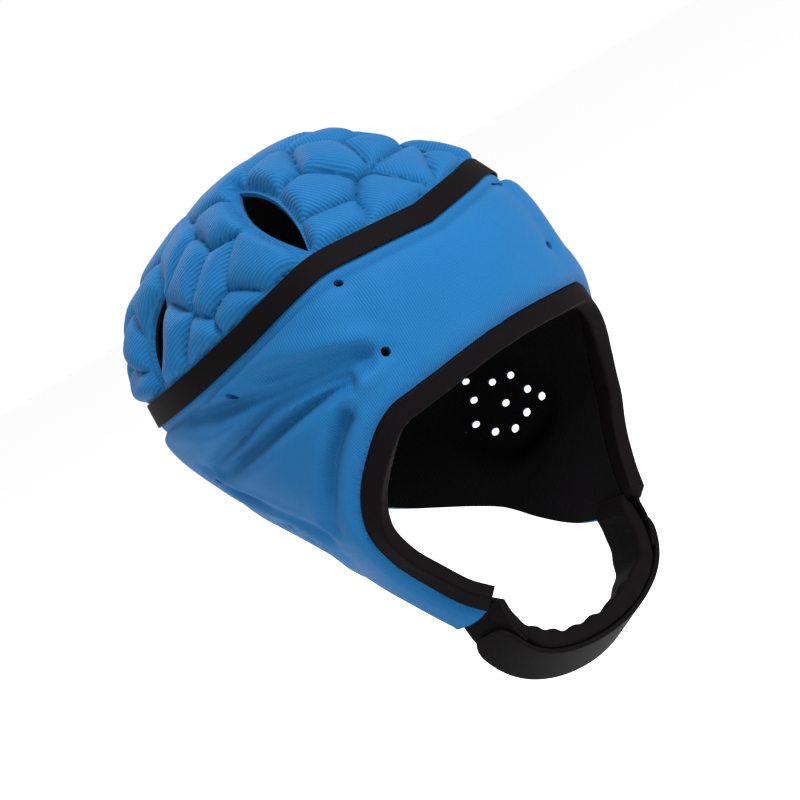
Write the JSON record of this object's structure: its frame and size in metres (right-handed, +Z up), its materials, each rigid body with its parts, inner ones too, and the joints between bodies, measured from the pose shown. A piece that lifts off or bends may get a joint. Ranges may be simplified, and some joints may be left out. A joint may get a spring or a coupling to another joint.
{
  "type": "rugby scrum cap",
  "caption": "Padded rugby scrum cap: moulded foam crown over a smooth brow and side panel, with black tape, binding, lining and chin strap.",
  "frame": {"origin": "middle of the inner crown, where the cap sits on the top of the head", "axes": "+Z up through the crown, the face opening towards -Y, the wearer's left at +X"},
  "size_m": [0.1786, 0.2072, 0.2674],
  "materials": {
    "blue_cloth": "fine ribbed knit, matt",
    "lining": "matt open knit",
    "tape": "woven tape, slight sheen",
    "chin_cloth": "soft ribbed knit over thin foam",
    "strap": "brushed woven strap"
  },
  "bodies": {
    "root": {"crown_padding": "blue_cloth", "side_padding": "blue_cloth", "crown_lining": "lining", "side_lining": "lining", "seam_tape": "tape", "face_binding": "tape", "chin_pad": "chin_cloth", "strap_anchor_right": "tape", "strap_anchor_left": "tape", "chin_strap": "strap"}
  },
  "joints": []
}
